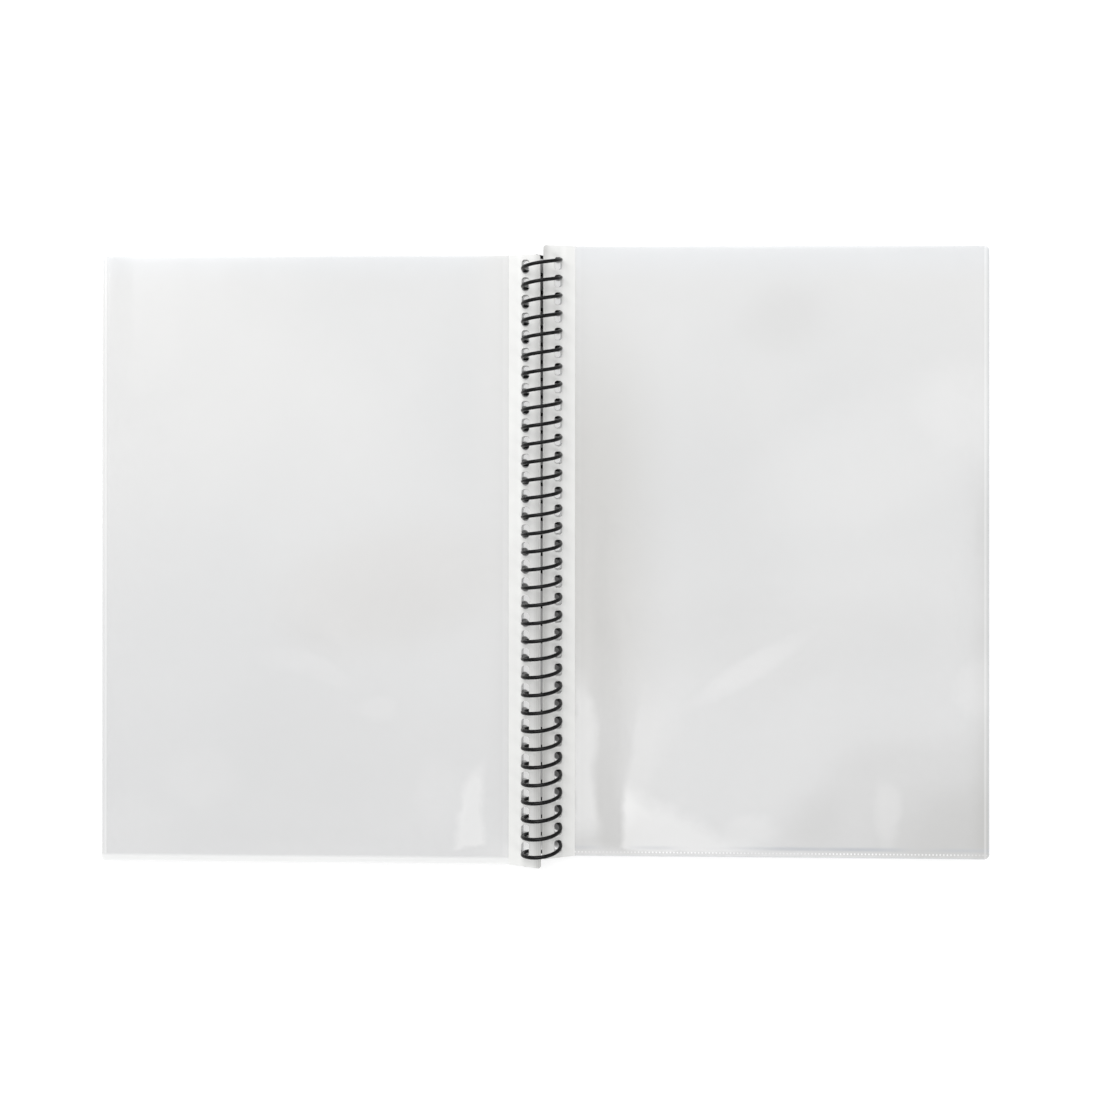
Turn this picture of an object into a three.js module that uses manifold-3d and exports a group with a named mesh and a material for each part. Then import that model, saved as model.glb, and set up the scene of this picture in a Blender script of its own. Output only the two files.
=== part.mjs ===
// Coil-bound display book lying open: millimetres, +X across the right-hand page, +Y to the page tops, +Z up.
// The coil axis runs along Y through x = 0; the undersides of both covers lie on z = 0.
import * as THREE from "three";
import { mergeGeometries, mergeVertices } from "three/addons/utils/BufferGeometryUtils.js";
import Module from "manifold-3d";

// Pages
const PAGE_HEIGHT = 220;
const PAGE_REACH = 160.3; // from the coil axis to the outer edge of a pocket
const PAGE_OFFSET = 1.65; // right-hand pages sit this far up, left-hand pages this far down
const LEAVES_A_SIDE = 5;
const LEAF_PITCH = 0.6; // height between two leaves where they lie flat
const PAGE_CORNER = 2;
const INNER_CORNER = 1.1;
const CORNER_STEPS = 2; // straight steps in a rounded corner

// Coil
const PITCH = 6.35;
const END_MARGIN = 8; // left over, top and bottom together, beyond the middles of the first and last hole
const LOOPS = 1 + Math.floor((PAGE_HEIGHT - END_MARGIN) / PITCH);
const COIL_OUTER = 15;
const WIRE = 1.3;
const COIL_STEPS = 9; // straight steps in a turn
const WIRE_SIDES = 5;
const END_TURN = 22; // degrees that each end runs past the lowest point of the coil
const END_BEND = 40; // degrees over which an end bends inwards
const END_INSET = 1.5;

// Punched margins
const TURN_LIMIT = 170; // degrees that a sheet can turn on the coil before a hole ends
const HOLE_WIDTH = 3;
const HOLE_PLAY = 0.1; // left at each end of a hole at the two ends of the turn
const HOLE_CORNER = 0.7;
const FOLD_X = 12; // where the sloping margin meets the flat page
const MARGIN_TOP = 7.2; // height of the inner edge of the topmost strip
const MARGIN_STEP = 0.38; // height between two inner edges
const INNER_STEP = 0.06; // the inner edge of each lower strip lies this much further out

// Leaves
const STRIP = { thick: 0.3, inner: 0.45, hole: 5.7, tongue: 0.1, tongueReach: 1.6 };
const FILM = { thick: 0.12, space: 0.14, start: 0.4 };
const WELD = { inset: 1.1, width: 0.7, clear: 0.02, foot: 0.04 };

// Covers
const COVER = { thick: 0.5, inner: 1.1, hole: 4.6, drop: 0.35, corner: 3, over: 0.6 };
const COVER_GAP = 0.2; // between a cover and the leaf on it

const RADIUS = (COIL_OUTER - WIRE) / 2;
const AXIS_Z = COIL_OUTER / 2;
const TRAVEL = (PITCH * TURN_LIMIT) / 360; // the wire moves this far along its hole in a full turn of the sheet
const WIRE_SLANT = 0.03; // half of what the lean of the wire adds within a sheet
const HOLE_LENGTH = TRAVEL + WIRE + 2 * (HOLE_PLAY + WIRE_SLANT);
const SPAN = (LOOPS - 1) * PITCH;

const wasm = await Module();
wasm.setup();

// A three.js geometry as a solid that can be joined and cut.
function solid(geometry) {
  const bare = geometry.clone();
  bare.deleteAttribute("normal");
  bare.deleteAttribute("uv");
  const merged = mergeVertices(bare, 1e-4);
  return new wasm.Manifold(
    new wasm.Mesh({
      numProp: 3,
      vertProperties: new Float32Array(merged.attributes.position.array),
      triVerts: new Uint32Array(merged.index.array),
    }),
  );
}

// A solid as a named mesh with its own material, mirrored in x for the left-hand side.
function node(name, body, side, look) {
  const mesh = body.getMesh();
  const geometry = new THREE.BufferGeometry();
  const places = new Float32Array((mesh.vertProperties.length / mesh.numProp) * 3);
  for (let i = 0; i < places.length / 3; i++)
    for (let c = 0; c < 3; c++)
      places[3 * i + c] = mesh.vertProperties[i * mesh.numProp + c] * (c === 0 ? side : 1);
  const order = new Uint32Array(mesh.triVerts);
  if (side < 0) for (let i = 0; i < order.length; i += 3) [order[i + 1], order[i + 2]] = [order[i + 2], order[i + 1]];
  geometry.setAttribute("position", new THREE.BufferAttribute(places, 3));
  geometry.setIndex(new THREE.BufferAttribute(order, 1));
  const flat = geometry.toNonIndexed();
  flat.computeVertexNormals();
  const made = new THREE.Mesh(flat, new THREE.MeshStandardMaterial({ flatShading: true, ...look }));
  made.name = name;
  return made;
}

// Where the coil is at a turn of deg degrees, counted from +X towards +Z.
function coilPoint(deg, radius) {
  const a = THREE.MathUtils.degToRad(deg);
  return new THREE.Vector3(
    radius * Math.cos(a),
    SPAN / 2 - (PITCH * (deg - 90)) / 360,
    AXIS_Z + radius * Math.sin(a),
  );
}

// The coil: one round wire from below the first loop to below the last, its ends bent inwards.
const COIL_FROM = -90 - END_TURN;
const COIL_TO = 360 * (LOOPS - 1) + 270 + END_TURN;

class CoilPath extends THREE.Curve {
  getPoint(t, target = new THREE.Vector3()) {
    const deg = COIL_FROM + (COIL_TO - COIL_FROM) * t;
    const toEnd = Math.min(deg - COIL_FROM, COIL_TO - deg);
    const bend = Math.max(0, 1 - toEnd / END_BEND);
    return target.copy(coilPoint(deg, RADIUS - END_INSET * bend * bend));
  }
  getPointAt(t, target) {
    return this.getPoint(t, target);
  }
}

function coilGeometry() {
  const round = new THREE.Shape(
    Array.from({ length: WIRE_SIDES }, (_, i) => {
      const a = (2 * Math.PI * (i + 0.5)) / WIRE_SIDES;
      return new THREE.Vector2((WIRE / 2) * Math.cos(a), (WIRE / 2) * Math.sin(a));
    }),
  );
  return new THREE.ExtrudeGeometry(round, {
    steps: Math.round(((COIL_TO - COIL_FROM) / 360) * COIL_STEPS),
    extrudePath: new CoilPath(),
    bevelEnabled: false,
  });
}

// The least clear space between two turns of the wire, measured on points of its centre line.
function coilSelfGap() {
  const path = new CoilPath();
  const count = 24 * LOOPS;
  const points = Array.from({ length: count + 1 }, (_, i) => path.getPoint(i / count));
  let least = Infinity;
  for (let i = 0; i < points.length; i++)
    for (let j = i + 12; j < points.length; j++) least = Math.min(least, points[i].distanceTo(points[j]));
  return least - WIRE;
}

// A flat outline in x and y with a corner radius at the coil side and another at the outer side.
function outline(x0, x1, y0, y1, innerRadius, outerRadius) {
  const shape = new THREE.Shape();
  shape.moveTo(x0 + innerRadius, y0);
  shape.lineTo(x1 - outerRadius, y0);
  shape.absarc(x1 - outerRadius, y0 + outerRadius, outerRadius, -Math.PI / 2, 0);
  shape.lineTo(x1, y1 - outerRadius);
  shape.absarc(x1 - outerRadius, y1 - outerRadius, outerRadius, 0, Math.PI / 2);
  shape.lineTo(x0 + innerRadius, y1);
  if (innerRadius) shape.absarc(x0 + innerRadius, y1 - innerRadius, innerRadius, Math.PI / 2, Math.PI);
  shape.lineTo(x0, y0 + innerRadius);
  if (innerRadius) shape.absarc(x0 + innerRadius, y0 + innerRadius, innerRadius, Math.PI, 1.5 * Math.PI);
  return shape;
}

function slab(shape, z0, z1, curveSegments = CORNER_STEPS) {
  return new THREE.ExtrudeGeometry(shape, { depth: z1 - z0, bevelEnabled: false, curveSegments }).translate(0, 0, z0);
}

// A profile given as [x, z] points, drawn out along y from y0 to y1.
function drawnOut(profile, y0, y1) {
  const shape = new THREE.Shape(profile.map(([x, z]) => new THREE.Vector2(x, z)));
  return new THREE.ExtrudeGeometry(shape, { depth: y1 - y0, bevelEnabled: false })
    .rotateX(Math.PI / 2)
    .translate(0, y1, 0);
}

// The line of a sloping margin: from its inner edge at height z0 down to the fold at height z1.
function slope(inner, z0, z1) {
  const run = FOLD_X - inner;
  const angle = Math.atan2(z0 - z1, run);
  const tilt = Math.tan(angle);
  return {
    angle,
    origin: [inner, z0],
    // height of the middle of the sheet at x, raised by up, which is measured square to the sheet
    at: (x, up = 0) => z0 - (x - inner) * tilt + up / Math.cos(angle),
    // x where that raised line comes down to height z
    meets: (z, up = 0) => inner + (z0 - z + up / Math.cos(angle)) / tilt,
    // a corner of the inner end
    end: (up) => [inner + up * Math.sin(angle), z0 + up * Math.cos(angle)],
  };
}

// The turn, in degrees from +X, at which the coil passes through a sloping margin.
function crossing(line) {
  let low = -80;
  let high = 0;
  for (let i = 0; i < 40; i++) {
    const deg = (low + high) / 2;
    const p = coilPoint(deg, RADIUS);
    if (p.z < line.at(p.x)) low = deg;
    else high = deg;
  }
  return (low + high) / 2;
}

// The punches for one margin: a row of holes with cut corners, square to the slope.
function punches(line, holeFromEdge, rowCentre) {
  const w = HOLE_WIDTH / 2;
  const h = HOLE_LENGTH / 2;
  const c = HOLE_CORNER;
  const corners = [[w, h - c], [w - c, h], [c - w, h], [-w, h - c], [-w, c - h], [c - w, -h], [w - c, -h], [w, c - h]];
  const hole = slab(new THREE.Shape(corners.map(([x, y]) => new THREE.Vector2(x, y))), -1, 1);
  const row = Array.from({ length: LOOPS }, (_, i) =>
    hole.clone().translate(holeFromEdge, rowCentre + SPAN / 2 - i * PITCH, 0),
  );
  return mergeGeometries(row)
    .rotateY(line.angle)
    .translate(line.origin[0], 0, line.origin[1]);
}

// Where a sheet's row of holes sits along y, so that the wire lies at one end of each hole at rest.
function rowCentre(line, side) {
  const wireY = coilPoint(crossing(line), RADIUS).y - SPAN / 2;
  return side * (wireY - TRAVEL / 2);
}

const FILM_STACK = 2 * FILM.thick + FILM.space;
const flatHeight = (k) => COVER.thick + COVER_GAP + FILM_STACK / 2 + (k - 1) * LEAF_PITCH;
const innerHeight = (k) => MARGIN_TOP - (LEAVES_A_SIDE - k) * MARGIN_STEP;
const LOOK = {
  film: { color: 0xe9edf0, roughness: 0.3, transparent: true, opacity: 0.6 },
  strip: { color: 0xf3f4f2, roughness: 0.5 },
  cover: { color: 0xe2e6e8, roughness: 0.5, transparent: true, opacity: 0.8 },
  coil: { color: 0x101010, roughness: 0.35 },
};

// The punched strip of leaf k (1 lies on the cover), with the tongue that both films are welded to.
function strip(k, side) {
  const z = flatHeight(k);
  const half = STRIP.thick / 2;
  const tongue = STRIP.tongue / 2;
  const line = slope(STRIP.inner + (LEAVES_A_SIDE - k) * INNER_STEP, innerHeight(k), z);
  const y0 = side * PAGE_OFFSET - PAGE_HEIGHT / 2;
  const profile = [
    line.end(-half),
    [FOLD_X, line.at(FOLD_X, -half)],
    [FOLD_X, z - tongue],
    [FOLD_X + STRIP.tongueReach, z - tongue],
    [FOLD_X + STRIP.tongueReach, z + tongue],
    [FOLD_X, z + tongue],
    [FOLD_X, line.at(FOLD_X, half)],
    line.end(half),
  ];
  const trim = outline(line.end(-half)[0], FOLD_X + 5, y0, y0 + PAGE_HEIGHT, INNER_CORNER, 0);
  return solid(drawnOut(profile, y0 - 1, y0 + PAGE_HEIGHT + 1))
    .intersect(solid(slab(trim, -1, AXIS_Z + 2)))
    .subtract(solid(punches(line, STRIP.hole, rowCentre(line, side))));
}

function film(z0, side) {
  const y0 = side * PAGE_OFFSET - PAGE_HEIGHT / 2;
  return slab(
    outline(FOLD_X + FILM.start, PAGE_REACH, y0, y0 + PAGE_HEIGHT, 0, PAGE_CORNER),
    z0,
    z0 + FILM.thick,
  );
}

// The film that carries the raised weld along the bottom and the outer edge of the pocket.
function weldedFilm(z0, side) {
  const y0 = side * PAGE_OFFSET - PAGE_HEIGHT / 2;
  const { inset, width } = WELD;
  const x1 = PAGE_REACH - inset;
  const x0 = FOLD_X + STRIP.tongueReach + 0.4;
  const rib = [
    [x0, y0 + inset],
    [x1, y0 + inset],
    [x1, y0 + PAGE_HEIGHT - PAGE_CORNER],
    [x1 - width, y0 + PAGE_HEIGHT - PAGE_CORNER],
    [x1 - width, y0 + inset + width],
    [x0, y0 + inset + width],
  ];
  const top = z0 + FILM.thick + FILM.space - WELD.clear;
  const weld = slab(new THREE.Shape(rib.map(([x, y]) => new THREE.Vector2(x, y))), z0 + WELD.foot, top);
  return solid(film(z0, side)).add(solid(weld));
}

function leaf(number, k, side) {
  const label = "leaf_" + String(number).padStart(2, "0");
  const low = flatHeight(k) - FILM_STACK / 2;
  const high = low + FILM.thick + FILM.space;
  // A leaf on the left has been turned over, so its front film faces down.
  const [front, back] = side > 0 ? [high, low] : [low, high];
  const plain = (z0) => solid(film(z0, side));
  return [
    node(label + "_strip", strip(k, side), side, LOOK.strip),
    node(label + "_front_film", front === low ? weldedFilm(front, side) : plain(front), side, LOOK.film),
    node(label + "_back_film", back === low ? weldedFilm(back, side) : plain(back), side, LOOK.film),
  ];
}

function cover(name, side) {
  const half = COVER.thick / 2;
  const line = slope(COVER.inner, innerHeight(0) - COVER.drop, half);
  const reach = PAGE_REACH + COVER.over;
  const y0 = side * PAGE_OFFSET - PAGE_HEIGHT / 2;
  const profile = [
    line.end(-half),
    [line.meets(0, -half), 0],
    [reach + 1, 0],
    [reach + 1, COVER.thick],
    [line.meets(COVER.thick, half), COVER.thick],
    line.end(half),
  ];
  const trim = outline(line.end(-half)[0], reach, y0, y0 + PAGE_HEIGHT, INNER_CORNER, COVER.corner);
  const sheet = solid(drawnOut(profile, y0 - 1, y0 + PAGE_HEIGHT + 1))
    .intersect(solid(slab(trim, -1, AXIS_Z + 2)))
    .subtract(solid(punches(line, COVER.hole, rowCentre(line, side))));
  return node(name, sheet, side, LOOK.cover);
}

const book = new THREE.Group();
book.name = "display_book";
book.add(node("coil", solid(coilGeometry()), 1, LOOK.coil));
book.add(cover("front_cover", -1), cover("back_cover", 1));
for (let k = 1; k <= LEAVES_A_SIDE; k++) {
  book.add(...leaf(k, k, -1));
  book.add(...leaf(2 * LEAVES_A_SIDE + 1 - k, k, 1));
}

console.log("hole length " + HOLE_LENGTH.toFixed(2) + " mm, least gap of the coil to itself " + coilSelfGap().toFixed(2) + " mm");

export default book;
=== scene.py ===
"""Looks of the coil-bound display book: its coil, punched strips, covers and pocket films."""
import math

import bpy
import bmesh
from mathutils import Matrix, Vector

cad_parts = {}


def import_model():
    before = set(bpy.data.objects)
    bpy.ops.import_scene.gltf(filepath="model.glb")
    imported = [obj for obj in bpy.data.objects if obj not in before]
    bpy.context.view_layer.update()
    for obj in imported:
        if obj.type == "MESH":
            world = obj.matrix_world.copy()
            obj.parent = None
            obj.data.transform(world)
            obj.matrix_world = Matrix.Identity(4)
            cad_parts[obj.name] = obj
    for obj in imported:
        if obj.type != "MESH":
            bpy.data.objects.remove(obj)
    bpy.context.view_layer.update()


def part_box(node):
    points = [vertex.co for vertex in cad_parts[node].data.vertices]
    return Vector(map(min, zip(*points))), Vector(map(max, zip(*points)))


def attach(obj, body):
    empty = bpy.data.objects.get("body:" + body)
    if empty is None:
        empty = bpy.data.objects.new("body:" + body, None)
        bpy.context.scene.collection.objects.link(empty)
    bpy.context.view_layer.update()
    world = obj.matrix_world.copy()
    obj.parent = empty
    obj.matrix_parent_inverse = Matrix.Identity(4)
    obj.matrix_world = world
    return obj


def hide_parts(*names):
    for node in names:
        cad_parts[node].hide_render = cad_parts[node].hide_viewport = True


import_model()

MM = 0.001
LEAVES_A_SIDE = 5

# Coil, as in the part's source
LOOPS = 34
PITCH = 6.35 * MM
SPAN = (LOOPS - 1) * PITCH
WIRE = 1.3 * MM
COIL_OUTER = 15 * MM
COIL_RADIUS = (COIL_OUTER - WIRE) / 2
AXIS_Z = COIL_OUTER / 2
END_TURN = 22  # degrees that each end runs past the lowest point of the coil
END_BEND = 40  # degrees over which an end bends inwards
END_INSET = 1.5 * MM
WIRE_STEP = 9  # degrees from one point of the wire to the next

# Pages
PAGE_HEIGHT = 220 * MM
PAGE_REACH = 160.3 * MM
PAGE_OFFSET = 1.65 * MM
PAGE_CORNER = 2 * MM
LEAF_PITCH = 0.6 * MM
FOLD_X = 12 * MM
MARGIN_TOP = 7.2 * MM
MARGIN_STEP = 0.38 * MM
FILM_THICK = 0.12 * MM
FILM_STACK = 0.38 * MM  # the two films of a pocket and the space between them
FILM_LIFT = 1.7 * MM  # how far a top film would stand off where its form says 1
FILM_TUCK = 0.1 * MM  # the films reach this far into their strip
WELD_INSET = 1.1 * MM
WELD_WIDTH = 0.7 * MM
WELD_START = 14 * MM  # from the coil axis to the inner end of the weld along the bottom
WELD_FOOT = 0.04 * MM  # from the underside of the lower film to the underside of its weld
WELD_TALL = 0.2 * MM

# Punched strips and covers
TURN_LIMIT = 170
TRAVEL = PITCH * TURN_LIMIT / 360  # how far the wire moves along its slot in a full turn of the sheet
SLOT_PLAY = 0.26 * MM
SLOT_LENGTH = TRAVEL + WIRE + SLOT_PLAY
SLOT_WIDTH = 3.0 * MM
SLOT_CORNER = 1.1 * MM
STRIP_INNER = 0.45 * MM
STRIP_LEAN = 0.18 * MM  # a strip's inner edge lies further out by this at its head and further in at its foot
STRIP_CLOSE = 0.06 * MM  # and by this further in all along
INNER_STEP = 0.06 * MM
STRIP_THICK = 0.3 * MM
STRIP_HOLE = 5.7 * MM
COVER_INNER = 1.1 * MM
COVER_THICK = 0.5 * MM
COVER_HOLE = 4.6 * MM
COVER_DROP = 0.35 * MM
COVER_GAP = 0.2 * MM
COVER_REACH = 160.9 * MM
COVER_CORNER = 3 * MM
COVER_FOLD = 0.3 * MM
INNER_CORNER = 1.1 * MM

# Looks, on the open book in mm
STRIP_EDGES = 0.75  # between the painted shade lines for the edges of lower strips, seen through the top strip
HOLE_SHADOW_X, HOLE_SHADOW_Y = -5.9, 1.35  # where a painted shadow of the hole lies round the wire, on the top left strip
DOT_STEP = 1.27  # between the dots of the weld
SHADOW_STEP, SHADOW_SHIFT = 6.453, 0.97  # the rows of painted shadow spots on the table, as the slots show them
SHADOW_ROWS = ((-6.4, 0.26, 0.5), (5.8, 0.8, 1.0))  # x, place within a step, strength at the foot
HOLLOW_RIM = 1.3  # how much wider than its size a hollow fades out

# What the two top films show, on the open book in mm: + is lighter, a painted highlight, and - darker,
# painted shade; the same marks swell the film a little.
# A facet is the area inside its edges, each given as a point, the angle that it faces and its softness.
# A hollow is an oval: its middle, its half width and half height, and its lean in degrees.
RIGHT_FACETS = (
    (0.34, ((11.8, -70, 0, 1.2), (18.6, -70, 183, 2.2), (16, -46, 270, 9), (16, -99, 90, 6))),
    (-0.3, ((19, -70, 0, 2.2), (29.5, -60, 184, 4.5), (25, 8, 270, 36), (25, -107, 90, 1.5))),
    (-0.22, ((18.6, -90, 0, 1.8), (28, -90, 186, 2), (24, -74, 270, 16), (25, -107, 90, 1.5))),
    (0.2, ((31.2, -80, -7, 2), (43, -72, 160, 7), (38, -52, 270, 14), (38, -98, 90, 8))),
    (0.42, ((30.8, -85, -8, 1.8), (56, -95.5, 242, 5), (50, -106.6, 90, 0.8))),
    (-0.24, ((99, -85, -34, 8), (130, -66, 270, 9), (120, -107, 90, 2))),
    (-0.4, ((155.5, -40, 0, 5), (155, 26, 270, 18))),
)
RIGHT_HOLLOWS = (
    (0.2, 76, -98, 11, 7, 0), (0.19, 75, -40.5, 26, 5, 32), (-0.07, 84, -48, 26, 7, 30),
    (-0.14, 97, -95, 15, 12, 0), (0.17, 123, -93, 5, 14, 4), (0.17, 155.5, -47, 8, 12, 0),
    (-0.45, 160, -108, 44, 30, 0), (-0.17, 86, 84, 18, 14, 20), (-0.2, 15, -103.6, 10, 3.2, 0),
    (0.12, 150, 52, 18, 20, 30), (0.16, 120, 36, 62, 26, 24), (-0.08, 60, 20, 34, 64, 0),
    (-0.1, 92, -28, 76, 18, 0),
)
LEFT_FACETS = (
    (0.38, ((-31.4, -95, 0, 2), (-28.4, -84, -19, 2.4), (-22.6, -90, 181, 1.8), (-27, -106.6, 90, 1),
            (-26, -79, 270, 5))),
)
LEFT_HOLLOWS = (
    (0.07, -37, -87, 10, 16, 0), (0.08, -85, -41.5, 20, 4.5, -18), (0.09, -60, -56.6, 8, 5, 0),
    (-0.1, -82, -32, 16, 4.5, -24), (-0.07, -50, -22, 32, 16, 0), (0.07, -123, -80, 16, 13, 0),
    (-0.08, -80, -76, 62, 32, 10), (0.08, -150, -102, 22, 14, 0),
)


# Picking and shaping

def deselect():
    if bpy.context.object and bpy.context.object.mode != "OBJECT":
        bpy.ops.object.mode_set(mode="OBJECT")
    bpy.ops.object.select_all(action="DESELECT")


def take(obj):
    """Make obj the only selected and the active object."""
    deselect()
    obj.select_set(True)
    bpy.context.view_layer.objects.active = obj


def shape(obj, chosen="VERT", test=None):
    """Go into edit mode with only the chosen elements selected, all of them without a test."""
    take(obj)
    bpy.ops.object.mode_set(mode="EDIT")
    bpy.ops.mesh.select_mode(type=chosen)
    bpy.ops.mesh.select_all(action="SELECT" if test is None else "DESELECT")
    if test is None:
        return
    mesh = bmesh.from_edit_mesh(obj.data)
    for item in {"VERT": mesh.verts, "EDGE": mesh.edges, "FACE": mesh.faces}[chosen]:
        if test(item):
            item.select_set(True)
    mesh.select_flush_mode()
    bmesh.update_edit_mesh(obj.data)


def finish_modifier(obj, kind, **settings):
    take(obj)
    modifier = obj.modifiers.new(kind.title(), kind)
    for key, value in settings.items():
        setattr(modifier, key, value)
    bpy.ops.object.modifier_apply(modifier=modifier.name)


def settle(obj, location=(0, 0, 0), turn=(0, 0, 0)):
    """Put a piece in its place and leave its object at the origin."""
    take(obj)
    obj.location = location
    obj.rotation_euler = turn
    bpy.ops.object.transform_apply(location=True, rotation=True, scale=True)


def smooth(obj, degrees):
    take(obj)
    bpy.ops.object.shade_smooth_by_angle(angle=math.radians(degrees))


# Shader maths

class Value:
    """A shader socket that Python's operators work on."""

    def __init__(self, finish, socket):
        self.finish, self.socket = finish, socket

    def maths(self, operation, *others, clamp=False):
        return self.finish.node("ShaderNodeMath", dict(enumerate((self, *others))),
                                operation=operation, use_clamp=clamp)

    def __add__(self, other):
        return self.maths("ADD", other)

    def __sub__(self, other):
        return self.maths("SUBTRACT", other)

    def __rsub__(self, other):
        return self.finish.node("ShaderNodeMath", {0: other, 1: self}, operation="SUBTRACT")

    def __mul__(self, other):
        return self.maths("MULTIPLY", other)

    def __truediv__(self, other):
        return self.maths("DIVIDE", other)

    def __abs__(self):
        return self.maths("ABSOLUTE")

    __radd__ = __add__
    __rmul__ = __mul__

    def between(self, low, high, first=0.0, last=1.0):
        """A soft step from first at low to last at high."""
        return self.finish.node("ShaderNodeMapRange", {"Value": self, "From Min": low, "From Max": high,
                                                       "To Min": first, "To Max": last},
                                interpolation_type="SMOOTHSTEP")


class Finish:
    """A material with one Principled shader, made node by node."""

    def __init__(self, name, **constants):
        self.material = bpy.data.materials.new(name)
        self.material.use_nodes = True
        self.tree = self.material.node_tree
        self.shader = self.tree.nodes["Principled BSDF"]
        for key, value in constants.items():
            self.shader.inputs[key.replace("_", " ")].default_value = value
        place = self.tree.nodes.new("ShaderNodeTexCoord").outputs["Object"]
        self.place = Value(self, place)
        split = self.tree.nodes.new("ShaderNodeSeparateXYZ")
        self.tree.links.new(place, split.inputs[0])
        self.x, self.y = (Value(self, split.outputs[i]) / MM for i in range(2))

    def upward(self):
        """How far the surface faces up or down: 1 on a flat sheet, 0 on an upright edge."""
        facing = self.node("ShaderNodeTexCoord", output="Normal")
        return abs(self.node("ShaderNodeSeparateXYZ", {0: facing}, output=2))

    def node(self, kind, inputs=None, output=0, **settings):
        made = self.tree.nodes.new(kind)
        for key, value in settings.items():
            setattr(made, key, value)
        for key, value in (inputs or {}).items():
            if isinstance(value, Value):
                self.tree.links.new(value.socket, made.inputs[key])
            else:
                made.inputs[key].default_value = value
        return Value(self, made.outputs[output])

    def noise(self, scale, detail=3.0, rough=0.5, stretch=(1, 1, 1)):
        """Smooth noise from 0 to 1 with so many cells in a metre."""
        place = self.node("ShaderNodeMapping", {"Vector": self.place, "Scale": stretch})
        return self.node("ShaderNodeTexNoise",
                         {"Vector": place, "Scale": scale, "Detail": detail, "Roughness": rough})

    def tint(self, factor, first, last):
        """A colour between two, each a colour or the result of another tint."""
        inputs = {0: factor}
        for slot, colour in ((6, first), (7, last)):
            inputs[slot] = colour if isinstance(colour, Value) else (*colour, 1)
        return self.node("ShaderNodeMix", inputs, output=2, data_type="RGBA")

    def feed(self, **sockets):
        for key, value in sockets.items():
            self.tree.links.new(value.socket, self.shader.inputs[key.replace("_", " ")])
        return self

    def bump(self, height, strength, distance):
        normal = self.node("ShaderNodeBump", {"Height": height, "Strength": strength, "Distance": distance})
        return self.feed(Normal=normal)


# Facets and hollows, the same for a film's shape (plain numbers) and for its tone (shader values)

def ease(value, low, high):
    if isinstance(value, Value):
        return value.between(low, high)
    t = max(0.0, min(1.0, (value - low) / (high - low)))
    return t * t * (3 - 2 * t)


def facet_mask(x, y, facet):
    """1 inside all the edges of a facet, fading to 0 across each."""
    inside = 1.0
    for x0, y0, faces, soft in facet[1]:
        c, s = math.cos(math.radians(faces)), math.sin(math.radians(faces))
        inside = ease((x - x0) * c + (y - y0) * s, -soft, soft) * inside
    return inside


def hollow_mask(x, y, hollow):
    """1 in the middle of an oval hollow or swelling, fading to 0 at its rim."""
    _, x0, y0, wide, tall, lean = hollow
    c, s = math.cos(math.radians(lean)), math.sin(math.radians(lean))
    across = ((x - x0) * c + (y - y0) * s) / (wide * HOLLOW_RIM)
    along = ((y - y0) * c - (x - x0) * s) / (tall * HOLLOW_RIM)
    inside = ease(across * across + along * along, 1.0, 0.0)
    return inside * inside


# Finishes

def wire_finish():
    """Black nylon over the steel wire, worn a little greyer in places."""
    finish = Finish("black_nylon_wire", IOR=1.42, Specular_IOR_Level=0.22)
    grain = finish.noise(900, 4)
    worn = finish.noise(140, 3).between(0.45, 0.8)
    tone = finish.tint(grain, (0.002, 0.002, 0.0024), (0.006, 0.006, 0.0064))
    finish.feed(Base_Color=finish.tint(worn * 0.4, tone, (0.016, 0.016, 0.017)),
                Roughness=grain.between(0.2, 0.8, 0.2, 0.36))
    return finish.bump(grain, 0.12, 0.0001).material


def strip_finish():
    """Milky film, clearer towards the coil, with painted light near the coil, painted shade near the gap,
    towards the foot and on its slot walls, painted shade lines for the edges of lower strips, and a painted
    shadow of the hole at its slots.
    """
    finish = Finish("milky_strip", IOR=1.49)
    mottle = finish.noise(60, 4)
    grain = finish.noise(1500, 2)
    foot = finish.y.between(90, -110)
    near = abs(finish.x)
    # Painted light: the strip is lighter near the coil, between the wires, and less so towards the foot.
    coil_light = near.between(9.5, 6) * (1 - foot * 0.35)
    # Painted shade lines where the edges of lower strips show through, stronger towards the foot.
    edges = abs((near / STRIP_EDGES).maths("FRACT") - 0.5).between(0.35, 0.1) * near.between(3.4, 2.2) * foot
    edges = edges * finish.x.between(0.3, -0.3, 0.45, 1.0)
    # Painted shade: near the gap, towards the foot, more on the right strip, and along those edges.
    shade = near.between(3.4, 0.6) * 0.5 + foot * finish.x.between(-1, 1) * 0.2 + foot * 0.08 + edges * 0.2
    tone = finish.tint(mottle.between(0.3, 0.7), (0.80, 0.80, 0.79), (0.85, 0.855, 0.84))
    tone = finish.tint(coil_light * 0.85, tone, (0.985, 0.985, 0.975))
    # Painted shade on the slot walls: upright faces near the coil take one set tone, a little darker than the
    # strip beside them.
    wall_shade = finish.upward().between(0.8, 0.5) * near.between(9.5, 8.5)
    tone = finish.tint(wall_shade, tone, (0.88, 0.88, 0.87))
    pitch = PITCH / MM
    # Painted shadow: a dark disc at the end of each left slot, where the hole lies dark round the wire.
    rise = (((finish.y - HOLE_SHADOW_Y) / pitch + 40.5).maths("FRACT") - 0.5) * pitch
    away = finish.x - HOLE_SHADOW_X
    hole_shadow = (rise * rise + away * away).between(2.4, 1.5) * finish.y.between(107, 105)
    tone = finish.tint(hole_shadow * 0.82, tone, (0.16, 0.16, 0.165))
    finish.feed(Base_Color=finish.tint(shade, tone, (0.56, 0.56, 0.545)),
                Roughness=grain.between(0.3, 0.7, 0.38, 0.55),
                Alpha=0.97 - mottle * 0.05 - near.between(8.5, 6) * 0.25)
    return finish.bump(grain, 0.15, 0.00008).material


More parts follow.
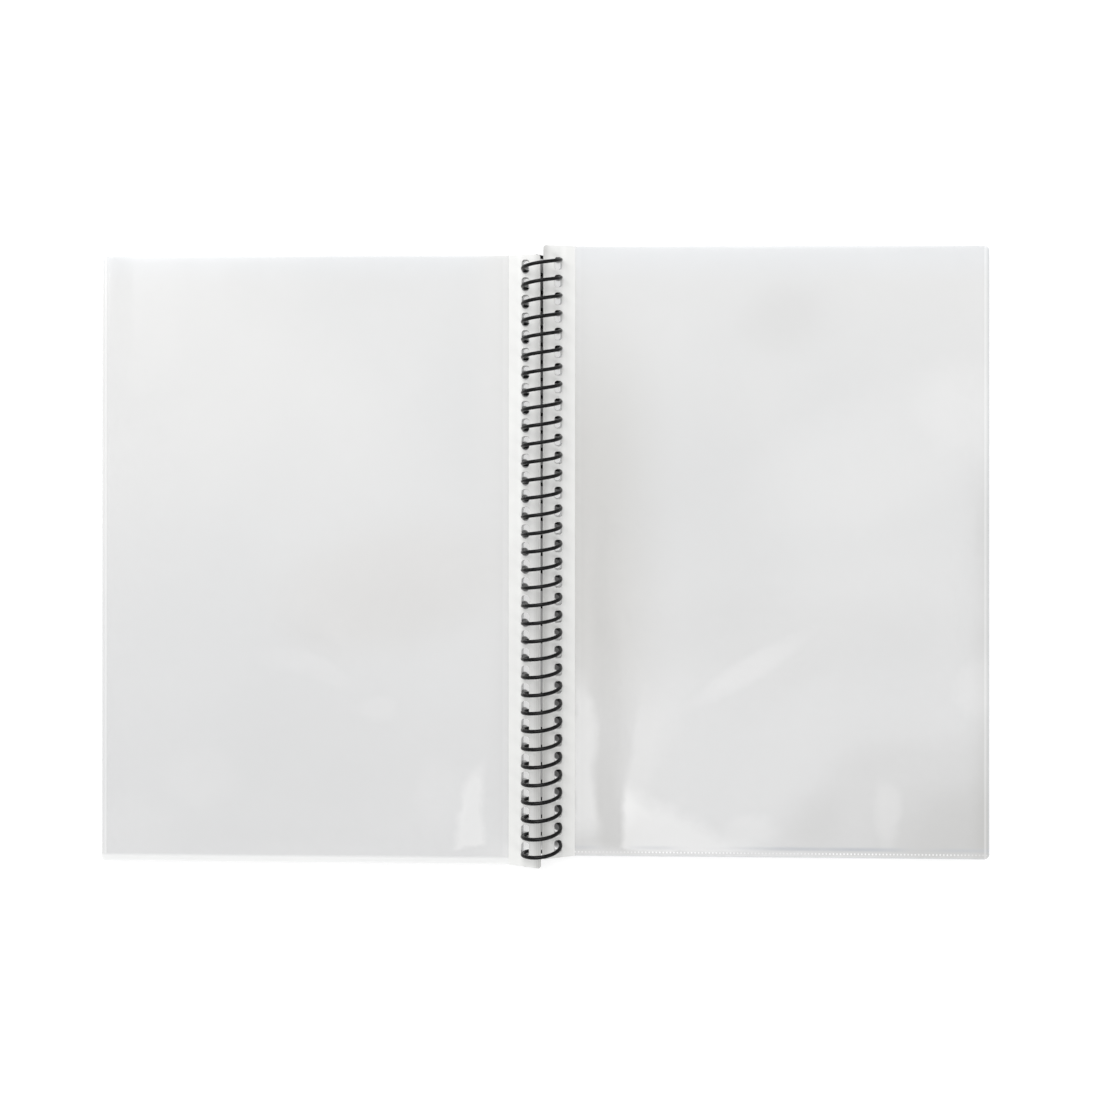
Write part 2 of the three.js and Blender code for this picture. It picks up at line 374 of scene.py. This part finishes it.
def cover_finish():
    """Frosted sheet with faint scuffs, clearer at its punched margin."""
    finish = Finish("frosted_cover", IOR=1.49)
    frost = finish.noise(2200, 3)
    mottle = finish.noise(35, 3)
    scuff = finish.noise(70, 6, 0.7, (0.3, 1, 1)).between(0.62, 0.75)
    tone = finish.tint(mottle, (0.735, 0.755, 0.77), (0.775, 0.795, 0.805))
    finish.feed(Base_Color=finish.tint(scuff * 0.25, tone, (0.86, 0.87, 0.88)),
                Roughness=frost.between(0.2, 0.8, 0.42, 0.62) + scuff * 0.1,
                Alpha=mottle.between(0.2, 0.8, 0.87, 0.91) - abs(finish.x).between(9, 7.5) * 0.6)
    return finish.bump(frost, 0.35, 0.00006).material


def film_finish(name, side, facets=(), hollows=()):
    """Clear pocket film, a little cloudy, with its welds, painted shade towards its foot, painted light along
    its top, and the painted highlights and shade of its facets and hollows if it lies on top.
    """
    finish = Finish(name, IOR=1.49)
    bottom = side * PAGE_OFFSET / MM - PAGE_HEIGHT / MM / 2
    outer = PAGE_REACH / MM
    x, y = finish.x, finish.y
    cloud = finish.noise(7, 2)
    foot = y.between(100, -108)
    tone = finish.tint(cloud.between(0.3, 0.7), (0.905, 0.908, 0.91), (0.94, 0.94, 0.938))
    # Painted shade: darker towards the foot of the page.
    tone = finish.tint(foot * (0.62 if side < 0 else 0.5), tone, (0.845, 0.848, 0.855))
    # Painted light: a pale bluish band along the top edge.
    tone = finish.tint(y.between(96, 110) * 0.6, tone, (0.95, 0.965, 0.985))
    if side > 0:
        # Painted shade: a warm darker band near the spine of the right page.
        band = x.between(52, 20) * y.between(108, 30) * y.between(-70, -20, 0.35, 1.0)
        tone = finish.tint(band * 0.42, tone, (0.70, 0.685, 0.655))
    else:
        # Painted light near the spine of the left page, and painted shade in a broad oval across its middle.
        tone = finish.tint(x.between(-30, -13) * y.between(-60, 100, 0.25, 0.8), tone, (0.985, 0.985, 0.98))
        tone = finish.tint(hollow_mask(x, y, (0, -55, -12, 48, 26, 12)) * 0.3, tone, (0.86, 0.84, 0.82))
    # Painted highlights (light) and painted shade (dark) of the facets and hollows, their edges wandering a
    # little
    light, dark = 0.0, 0.0
    wander = finish.noise(30, 2) * 9 + finish.noise(110, 3) * 4 - 6.5
    for mask, marks in ((facet_mask, facets), (hollow_mask, hollows)):
        for mark in marks:
            amount = mask(x + wander, y + wander, mark) * abs(mark[0])
            light, dark = (amount + light, dark) if mark[0] > 0 else (light, amount + dark)
    if facets:
        light, dark = light.maths("MINIMUM", 1.0), dark.maths("MINIMUM", 1.0)
        tone = finish.tint(dark, tone, (0.60, 0.597, 0.588))
        tone = finish.tint(light, tone, (0.985, 0.985, 0.98))
    # The welds: a row of dots along the bottom, flat along the outer edge and faint along the strip.
    # On the right a painted shadow line lies above the dots, on the left they are faint in a light band.
    step = (x / DOT_STEP).maths("FRACT") * DOT_STEP - DOT_STEP / 2
    middle = (WELD_INSET + WELD_WIDTH / 2) / MM
    rise = y - (bottom + middle)
    dots = (step * step + rise * rise).between(0.16, 0.03)
    dots = dots * finish.noise(30, 1).between(0.35, 0.6, 0.25, 1.0)
    at_strip = abs(abs(x) - 13.2).between(1.4, 0.4) * 0.25
    flat = abs(abs(x) - (outer - middle)).between(0.5, 0.3).maths("MAXIMUM", at_strip)
    # Painted light along the left page's outer and bottom edges, painted shade along the right page's.
    rim = (abs(x) - (outer - 0.9)).between(0, 0.7).maths("MAXIMUM", rise.between(-0.9, -1.3))
    if side < 0:
        dots = (dots * 0.35).maths("MAXIMUM", rise.between(1.6, 0.2) * 0.85)
        tone = finish.tint(rim * 0.5, tone, (0.97, 0.98, 0.98))
    else:
        shadow = abs(y - (bottom + 3.1)).between(1.1, 0.1) * finish.noise(14, 2).between(0.4, 0.56)
        tone = finish.tint(rim * 0.5, tone, (0.62, 0.64, 0.66))
        tone = finish.tint(shadow * 0.6, tone, (0.58, 0.61, 0.66))
    weld = dots.maths("MAXIMUM", flat * (0.42 if side < 0 else 0.26))
    tone = finish.tint(weld * 0.75, tone, (0.985, 0.99, 0.985))
    ripple = finish.noise(22, 3, 0.45)
    opacity = cloud * 0.08 + weld * 0.25 + 0.42
    if facets:
        opacity = opacity + dark * 0.3 + light * 0.3
    finish.feed(Base_Color=tone, Roughness=finish.noise(60, 3).between(0.3, 0.7, 0.14, 0.24), Alpha=opacity)
    return finish.bump(ripple + weld * 0.12, 0.35, 0.0006).material


FINISHES = {
    "wire": wire_finish(), "strip": strip_finish(), "cover": cover_finish(),
    ("film", -1): film_finish("pocket_film_left", -1), ("film", 1): film_finish("pocket_film_right", 1),
    ("top", -1): film_finish("top_film_left", -1, LEFT_FACETS, LEFT_HOLLOWS),
    ("top", 1): film_finish("top_film_right", 1, RIGHT_FACETS, RIGHT_HOLLOWS),
}


def dress(piece, finish, body, node):
    piece.data.materials.clear()
    piece.data.materials.append(FINISHES[finish])
    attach(piece, body)
    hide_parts(node)


# Coil

def coil_point(degrees, radius=COIL_RADIUS):
    a = math.radians(degrees)
    return radius * math.cos(a), SPAN / 2 - PITCH * (degrees - 90) / 360, AXIS_Z + radius * math.sin(a)


def coil_piece():
    first, last = -90 - END_TURN, 360 * (LOOPS - 1) + 270 + END_TURN
    steps = int((last - first) / WIRE_STEP)
    deselect()
    bpy.ops.curve.primitive_nurbs_path_add()
    wire = bpy.context.object
    curve = wire.data
    curve.splines.clear()
    spline = curve.splines.new("POLY")
    spline.points.add(steps)
    for i, point in enumerate(spline.points):
        turn = first + (last - first) * i / steps
        bend = max(0, 1 - min(turn - first, last - turn) / END_BEND)
        point.co = (*coil_point(turn, COIL_RADIUS - END_INSET * bend * bend), 1)
    curve.dimensions = "3D"
    curve.bevel_depth = WIRE / 2
    curve.bevel_resolution = 4
    curve.use_fill_caps = True
    take(wire)
    bpy.ops.object.convert(target="MESH")
    wire = bpy.context.object
    wire.name = wire.data.name = "coil_wire"
    smooth(wire, 60)
    return wire


# Punched strips and covers

class Margin:
    """A sheet's margin: its inner edge, up at the coil, and its slope down to the fold."""

    def __init__(self, inner, top, foot, hole):
        self.inner, self.top, self.foot = inner, top, foot
        self.tilt = math.atan2(top - foot, FOLD_X - inner)
        self.length = math.hypot(top - foot, FOLD_X - inner)
        self.hole = hole

    def row(self):
        """Where the middle of the row of slots lies along y, so that the wire rests at one end of each."""
        low, high = -80.0, 0.0
        for _ in range(40):
            middle = (low + high) / 2
            x, _, z = coil_point(middle)
            if z < self.top - (x - self.inner) * math.tan(self.tilt):
                low = middle
            else:
                high = middle
        return coil_point(low)[1] - SPAN / 2 - TRAVEL / 2


def slot_row():
    """The punches of one sheet: a row of round-cornered slots along y, at x = 0."""
    deselect()
    bpy.ops.mesh.primitive_cube_add(size=1)
    punch = bpy.context.object
    shape(punch)
    bpy.ops.transform.resize(value=(SLOT_WIDTH, SLOT_LENGTH, 3 * MM))
    shape(punch, "EDGE", upright)
    bpy.ops.mesh.bevel(offset=SLOT_CORNER, segments=6, affect="EDGES")
    deselect()
    finish_modifier(punch, "ARRAY", count=LOOPS, use_relative_offset=False, use_constant_offset=True,
                    constant_offset_displace=(0, PITCH, 0))
    settle(punch, (0, -SPAN / 2, 0))
    return punch


def upright(edge):
    first, last = (v.co for v in edge.verts)
    return abs(first.z - last.z) > 1e-5 and abs(first.x - last.x) < 1e-5


def punched_margin(margin, thick, spare=0.0, lean=0):
    """A right-hand margin in its place: a plate with rounded inner corners and its slots.

    With lean, its inner edge lies further in at one end: the lower end for 1, the upper end for -1."""
    deselect()
    bpy.ops.mesh.primitive_cube_add(size=1)
    sheet = bpy.context.object
    length = margin.length + spare
    shape(sheet)
    bpy.ops.transform.resize(value=(length, PAGE_HEIGHT, thick))
    bpy.ops.transform.translate(value=(length / 2, PAGE_OFFSET, 0))
    shape(sheet, "EDGE", lambda e: upright(e) and e.verts[0].co.x < 1e-5)
    bpy.ops.mesh.bevel(offset=INNER_CORNER, segments=6, affect="EDGES")
    for end in (-1, 1) if lean else ():
        shape(sheet, "VERT", lambda v: v.co.x < INNER_CORNER * 1.01 and v.co.y * end > 0)
        bpy.ops.transform.translate(value=(end * lean * STRIP_LEAN - STRIP_CLOSE, 0, 0))
    deselect()
    punch = slot_row()
    settle(punch, (margin.hole, margin.row(), 0))
    finish_modifier(sheet, "BOOLEAN", operation="DIFFERENCE", solver="EXACT", object=punch)
    bpy.data.objects.remove(punch)
    settle(sheet, (margin.inner, 0, margin.top), (0, margin.tilt, 0))
    return sheet


def cover_sheet():
    """The right-hand cover: its punched margin, a mitred fold and the flat sheet drawn out of it."""
    middle = COVER_THICK / 2
    margin = Margin(COVER_INNER, MARGIN_TOP - LEAVES_A_SIDE * MARGIN_STEP - COVER_DROP, middle, COVER_HOLE)
    sheet = punched_margin(margin, COVER_THICK, spare=0.5 * MM)
    half = margin.tilt / 2
    shape(sheet)
    bpy.ops.mesh.bisect(plane_co=(FOLD_X, 0, middle), plane_no=(math.cos(half), 0, -math.sin(half)),
                        use_fill=True, clear_outer=True)
    shape(sheet, "FACE", lambda f: f.normal.x > 0.8 and f.calc_center_median().x > FOLD_X - 1 * MM)
    bpy.ops.mesh.extrude_region_move(TRANSFORM_OT_translate={"value": (COVER_REACH - FOLD_X, 0, 0)})
    bpy.ops.transform.resize(value=(0, 1, 1), center_override=(COVER_REACH, 0, 0))
    shape(sheet, "EDGE", lambda e: upright(e) and e.verts[0].co.x > COVER_REACH - 0.01 * MM)
    bpy.ops.mesh.bevel(offset=COVER_CORNER, segments=8, affect="EDGES")
    shape(sheet, "EDGE", lambda e: all(abs(v.co.x - FOLD_X) < COVER_FOLD for v in e.verts)
          and abs(e.verts[0].co.y - e.verts[1].co.y) > PAGE_HEIGHT / 2)
    bpy.ops.mesh.bevel(offset=COVER_FOLD, segments=3, affect="EDGES")
    deselect()
    return sheet


def placed(sheet, name, side):
    """A right-hand sheet under its name, turned half round for the left side."""
    sheet.name = sheet.data.name = name
    if side < 0:
        settle(sheet, turn=(0, 0, math.pi))
    smooth(sheet, 30)
    return sheet


# Pocket films

def swell_by(obj, height, form):
    """Lift a film by height times form(x, y), x and y in mm."""
    group = obj.vertex_groups.new(name="swell")
    for vertex in obj.data.vertices:
        weight = max(0.0, min(1.0, form(vertex.co.x / MM, vertex.co.y / MM)))
        if weight:
            group.add([vertex.index], weight, "REPLACE")
    finish_modifier(obj, "DISPLACE", direction="Z", mid_level=0, strength=height, vertex_group="swell")
    obj.vertex_groups.clear()


def weld(film, side, underside):
    """Join the weld to a pocket's lower film: a bar along the bottom and one along the outer edge."""
    bottom = side * PAGE_OFFSET - PAGE_HEIGHT / 2 + WELD_INSET
    outer = PAGE_REACH - WELD_INSET
    bars = ((WELD_START, WELD_WIDTH), (outer - WELD_WIDTH, PAGE_HEIGHT - PAGE_CORNER - WELD_INSET))
    for inner, tall in bars:
        deselect()
        bpy.ops.mesh.primitive_cube_add(size=1)
        bar = bpy.context.object
        bar.scale = (outer - inner, tall, WELD_TALL)
        settle(bar, (side * (inner + outer) / 2, bottom + tall / 2, underside + WELD_FOOT + WELD_TALL / 2))
        finish_modifier(film, "BOOLEAN", operation="UNION", solver="EXACT", object=bar)
        bpy.data.objects.remove(bar)


def film_piece(name, node, side, form=None, welded=False):
    """A pocket film over its node: a top film swells by its form, and a lower film has the weld."""
    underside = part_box(node)[0][2]
    z = underside + FILM_THICK / 2
    inner = FOLD_X - FILM_TUCK
    width = PAGE_REACH - inner
    centre = side * PAGE_OFFSET
    across, along = (130, 190) if form else (8, 8)
    deselect()
    bpy.ops.mesh.primitive_grid_add(x_subdivisions=across, y_subdivisions=along, size=1)
    sheet = bpy.context.object
    sheet.name = sheet.data.name = name
    shape(sheet)
    bpy.ops.transform.resize(value=(width, PAGE_HEIGHT, 1))
    bpy.ops.transform.translate(value=(side * (inner + width / 2), centre, z))
    for up in (1, -1):
        corner = (side * (PAGE_REACH - PAGE_CORNER), centre + up * (PAGE_HEIGHT / 2 - PAGE_CORNER), z)
        for degrees in (22.5, 45, 67.5):
            c, s = math.cos(math.radians(degrees)), math.sin(math.radians(degrees))
            away = (side * c, up * s, 0)
            cut = [corner[i] + away[i] * PAGE_CORNER for i in range(3)]
            bpy.ops.mesh.select_all(action="SELECT")
            bpy.ops.mesh.bisect(plane_co=cut, plane_no=away, clear_outer=True)
    deselect()
    if form:
        swell_by(sheet, FILM_LIFT, form)
    finish_modifier(sheet, "SOLIDIFY", thickness=FILM_THICK, offset=0)
    if welded:
        weld(sheet, side, underside)
    smooth(sheet, 50)
    return sheet


def swell_form(side):
    """How far the top film stands off its pocket: broad waves, facets and hollows, held at its welds."""
    facets, hollows = (RIGHT_FACETS, RIGHT_HOLLOWS) if side > 0 else (LEFT_FACETS, LEFT_HOLLOWS)
    shift = side * PAGE_OFFSET / MM

    def form(x, y):
        rise = 0.36 + 0.14 * math.sin(0.031 * y - 0.028 * x)
        rise += 0.1 * math.sin(0.05 * abs(x) + 0.021 * y + side)
        for mask, marks in ((facet_mask, facets), (hollow_mask, hollows)):
            for mark in marks:
                rise += 0.25 * mark[0] * mask(x, y, mark)
        held = ease(abs(x), 13.9, 30) * ease(abs(x), 158, 147) * ease(y, shift - 108, shift - 94)
        return rise * held

    return form


def leaf_pieces():
    """All leaves, counted up from the covers: k is 1 on a cover and LEAVES_A_SIDE on top."""
    for k in range(1, LEAVES_A_SIDE + 1):
        numbers = {-1: k, 1: 2 * LEAVES_A_SIDE + 1 - k}
        foot = COVER_THICK + COVER_GAP + FILM_STACK / 2 + (k - 1) * LEAF_PITCH
        below = LEAVES_A_SIDE - k
        margin = Margin(STRIP_INNER + below * INNER_STEP, MARGIN_TOP - below * MARGIN_STEP,
                        foot, STRIP_HOLE)
        for side in (-1, 1):
            label = f"leaf_{numbers[side]:02d}"
            strip = placed(punched_margin(margin, STRIP_THICK, lean=side), label + "_punched_strip", side)
            dress(strip, "strip", label, label + "_strip")
            for which in ("front", "back"):
                upper = (which == "front") == (side > 0)
                top = upper and k == LEAVES_A_SIDE
                node = f"{label}_{which}_film"
                form = swell_form(side) if top else None
                film = film_piece(f"{label}_{which}_sleeve", node, side, form, welded=not upper)
                dress(film, ("top" if top else "film", side), label, node)


dress(coil_piece(), "wire", "coil", "coil")
leaf_pieces()
for side, name in ((-1, "front_cover"), (1, "back_cover")):
    dress(placed(cover_sheet(), name + "_sheet", side), "cover", name, name)


# Floor, light and camera

def floor():
    """A white table that keeps the book's shadow, with painted shadow where sheets lie close over the gap and
    the slots: there its glow is taken away so that its own shade shows.
    """
    deselect()
    bpy.ops.mesh.primitive_plane_add(size=12, location=(0, 0, -0.0003))
    table = bpy.context.object
    table.name = "table_top"
    finish = Finish("white_table", Roughness=0.9, Specular_IOR_Level=0.0, Emission_Strength=0.66)
    rays = [finish.node("ShaderNodeLightPath", output=f"Is {kind} Ray")
            for kind in ("Camera", "Glossy", "Transmission")]
    direct = rays[0].maths("MAXIMUM", rays[1]).maths("MAXIMUM", rays[2])
    # Painted shadow under the coil and in spots under the slots, only where sheets lie close above.
    shadow_mask = abs(finish.x).between(4.5, 2.5) * finish.y.between(-80, 105, 0.6, 1.0)
    turns = ((finish.y + SHADOW_SHIFT) / SHADOW_STEP + 40).maths("FRACT")
    for column, phase, at_foot in SHADOW_ROWS:
        rise, away = (turns - phase) * SHADOW_STEP, finish.x - column
        shadow_spot = (rise * rise + away * away).between(3.2, 1.6) * finish.y.between(-100, -30, at_foot, 1.0)
        shadow_mask = shadow_mask.maths("MAXIMUM", shadow_spot * 0.9)
    open_sky = finish.node("ShaderNodeAmbientOcclusion", {"Distance": 20 * MM}, output="AO", samples=16)
    shadow_mask = shadow_mask * abs(finish.y).between(109, 105) * open_sky.between(0.5, 0.35)
    finish.feed(Base_Color=finish.tint(direct, (0.8, 0.8, 0.8), (0.42, 0.42, 0.42)),
                Emission_Color=finish.tint(direct * (1 - shadow_mask), (0, 0, 0), (1, 1, 1)))
    table.data.materials.append(finish.material)


def lamp(name, place, aim, size, power):
    deselect()
    bpy.ops.object.light_add(type="AREA", location=place)
    light = bpy.context.object
    light.name = name
    light.data.shape = "RECTANGLE"
    light.data.size, light.data.size_y = size
    light.data.energy = power
    direction = [aim[i] - place[i] for i in range(3)]
    flat = math.hypot(direction[0], direction[1])
    light.rotation_euler = (math.atan2(flat, -direction[2]), 0, math.atan2(-direction[0], direction[1]))


def world():
    sky = bpy.data.worlds.new("studio")
    bpy.context.scene.world = sky
    sky.use_nodes = True
    sky.node_tree.nodes["Background"].inputs["Color"].default_value = (1, 1, 1, 1)
    sky.node_tree.nodes["Background"].inputs["Strength"].default_value = 0.65


def camera():
    """The camera that was fitted to the photograph."""
    data = bpy.data.cameras.new("photo_view")
    view = bpy.data.objects.new("photo_view", data)
    bpy.context.collection.objects.link(view)
    view.location = (7.95 * MM, 59.64 * MM, 432.85 * MM)
    view.rotation_euler = (math.radians(0.043), math.radians(1.263), math.radians(0.032))
    data.lens = 39.16
    data.shift_x, data.shift_y = 0.008, -0.1438
    data.clip_start = 0.01
    bpy.context.scene.camera = view


floor()
world()
lamp("key_panel", (-0.6, 0.9, 1.3), (0, 0, 0), (1.2, 1.2), 19)
lamp("fill_panel", (1.5, -1.2, 1.2), (0, 0, 0), (1.0, 1.0), 12)
camera()
bpy.context.scene.view_settings.view_transform = "Standard"
